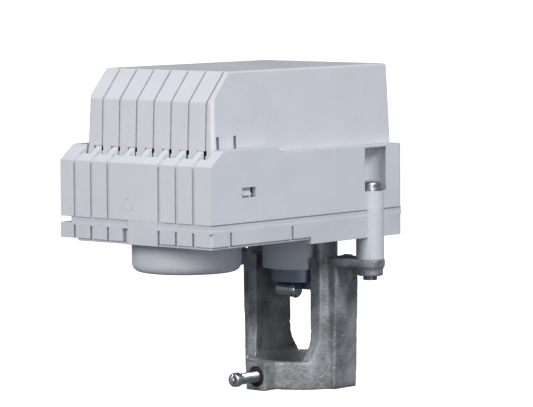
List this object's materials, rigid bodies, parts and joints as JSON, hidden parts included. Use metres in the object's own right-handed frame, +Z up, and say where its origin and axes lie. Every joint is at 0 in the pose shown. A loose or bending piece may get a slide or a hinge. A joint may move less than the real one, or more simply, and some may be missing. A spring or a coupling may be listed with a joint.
{
  "type": "motorized valve actuator",
  "caption": "Electric linear actuator on a cast yoke: motor, gear train and lead screw push a keyed spindle coupling down to close a control valve.",
  "frame": {"origin": "centre of the valve-neck bore at the bottom face of the yoke collar", "axes": "+Z up along the spindle from the valve into the housing; -X towards the ribbed motor end; -Y the long side with the latch window; +Y the long side with the cable entries"},
  "size_m": [0.1587, 0.1126, 0.1725],
  "materials": {
    "housing_plastic": "fine textured moulded plastic, light grey",
    "cover_plastic": "fine textured moulded plastic, light grey",
    "base_casting": "light grey paint on a die casting",
    "seal_rubber": "matt",
    "dark_plastic": "matt black",
    "yoke_casting": "as-cast, with machined faces",
    "zinc_steel": "zinc plated",
    "plain_steel": "turned",
    "bearing_steel": "ground",
    "brass": "turned",
    "gear_plastic": "moulded, off-white",
    "bush_plastic": "moulded, dark grey",
    "board_laminate": "green solder mask",
    "terminal_plastic": "moulded, green",
    "capacitor_film": "wrapped film"
  },
  "bodies": {
    "housing": {"lower_housing": "housing_plastic", "base_plate": "base_casting", "cover_seal": "seal_rubber", "cover_latch": "housing_plastic", "entry_plug": "dark_plastic", "yoke": "yoke_casting", "housing_screws": "zinc_steel", "screw_washers": "zinc_steel", "yoke_inserts": "plain_steel", "guide_bush": "bush_plastic", "motor_case": "zinc_steel", "bearing_outer_ring": "bearing_steel", "bearing_balls": "bearing_steel", "gear_plate": "zinc_steel", "bearing_bridge": "zinc_steel", "spindle_bush": "brass", "gear_axle_1": "plain_steel", "gear_axle_2": "plain_steel", "plate_pillars": "brass", "pillar_screws": "zinc_steel", "circuit_board": "board_laminate", "board_spacers": "brass", "board_screws": "zinc_steel", "terminal_block": "terminal_plastic", "terminal_screws": "zinc_steel", "motor_capacitor": "capacitor_film", "limit_switch_lower": "dark_plastic", "limit_switch_upper": "dark_plastic", "switch_bracket": "zinc_steel"},
    "cover": {"top_cover": "cover_plastic"},
    "neck_screw": {"neck_screw": "zinc_steel"},
    "spindle": {"stem_coupling": "plain_steel", "lead_screw": "plain_steel", "trip_cam": "dark_plastic"},
    "lock_pin": {"lock_pin": "plain_steel", "lock_clip": "zinc_steel"},
    "drive_gear": {"drive_gear": "gear_plastic", "drive_nut": "brass", "bearing_inner_ring": "bearing_steel"},
    "reduction_gear_2": {"reduction_gear_2": "gear_plastic"},
    "reduction_gear_1": {"reduction_gear_1": "gear_plastic"},
    "motor_rotor": {"motor_pinion": "brass", "motor_shaft": "plain_steel"}
  },
  "joints": [
    {"name": "spindle_stroke", "type": "slide", "parent": "housing", "child": "spindle", "axis": [0, 0, -1], "range_m": [0, 0.02]},
    {"name": "drive_gear_turn", "type": "hinge", "parent": "housing", "child": "drive_gear", "pos_m": [0, 0, 0.1], "axis": [0, 0, 1], "range_deg": [0, 1800]},
    {"name": "gear_2_turn", "type": "hinge", "parent": "housing", "child": "reduction_gear_2", "pos_m": [-0.02993, 0.00209, 0.1], "axis": [0, 0, 1], "range_deg": [-2700, 0]},
    {"name": "gear_1_turn", "type": "hinge", "parent": "housing", "child": "reduction_gear_1", "pos_m": [-0.05975, 0.00531, 0.1], "axis": [0, 0, 1], "range_deg": [0, 8871.43]},
    {"name": "motor_turn", "type": "hinge", "parent": "housing", "child": "motor_rotor", "pos_m": [-0.0905, 0, 0.1], "axis": [0, 0, 1], "range_deg": [-40555.1, 0]},
    {"name": "cover_lift", "type": "slide", "parent": "housing", "child": "cover", "axis": [0, 0, 1], "range_m": [0, 0.06]},
    {"name": "neck_screw_travel", "type": "slide", "parent": "housing", "child": "neck_screw", "axis": [1, 0, 0], "range_m": [-0.004, 0.006]},
    {"name": "lock_pin_pull", "type": "slide", "parent": "spindle", "child": "lock_pin", "axis": [0, -1, 0], "range_m": [0, 0.012]}
  ],
  "couplings": [
    {"joint": "drive_gear_turn", "follows": "spindle_stroke", "rad_per_m": 1570.8},
    {"joint": "gear_2_turn", "follows": "spindle_stroke", "rad_per_m": -2356.2},
    {"joint": "gear_1_turn", "follows": "spindle_stroke", "rad_per_m": 7741.8},
    {"joint": "motor_turn", "follows": "spindle_stroke", "rad_per_m": -35391}
  ]
}
